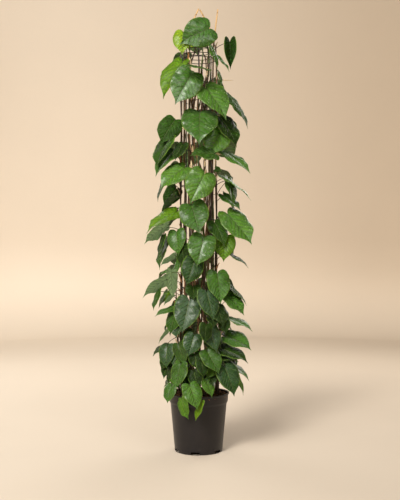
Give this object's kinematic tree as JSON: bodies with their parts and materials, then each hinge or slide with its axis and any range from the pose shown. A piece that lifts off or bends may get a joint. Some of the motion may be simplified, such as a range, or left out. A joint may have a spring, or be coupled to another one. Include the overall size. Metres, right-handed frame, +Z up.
{
  "type": "potted heartleaf philodendron",
  "caption": "Tall heartleaf philodendron whose vines climb a round wire column with bamboo canes, rooted in soil in a tapered plastic nursery pot",
  "frame": {"origin": "middle of the pot's flat underside, on the floor", "axes": "+Z up, -Y is the front that the picture shows, +X to its right"},
  "size_m": [0.4325, 0.4133, 1.765],
  "materials": {
    "pot_plastic": "matt charcoal moulded plastic with a soft sheen",
    "potting_soil": "dark moist potting mix with reddish bark and coir crumbs",
    "wire": "thin wire coated near black, slightly worn",
    "bamboo": "thin tan bamboo cane with darker nodes",
    "leaf": "glossy heart-shaped leaf, yellow-green when young and dark bluish green when old, with paler veins",
    "stem": "smooth green-brown stem with rings at its joints",
    "sheath": "dry papery tan leaf sheath"
  },
  "bodies": {
    "root": {"pot": "pot_plastic", "soil": "potting_soil", "climbing_column": "wire", "cane_1": "bamboo", "cane_2": "bamboo", "cane_3": "bamboo", "cane_4": "bamboo", "vine_1": "leaf", "vine_2": "leaf", "vine_3": "leaf", "vine_4": "leaf", "vine_5": "leaf", "vine_6": "leaf", "vine_7": "leaf", "vine_8": "leaf", "shoot_1": "leaf", "shoot_2": "leaf", "shoot_3": "leaf", "shoot_4": "leaf", "shoot_5": "leaf", "shoot_6": "leaf"}
  },
  "joints": []
}
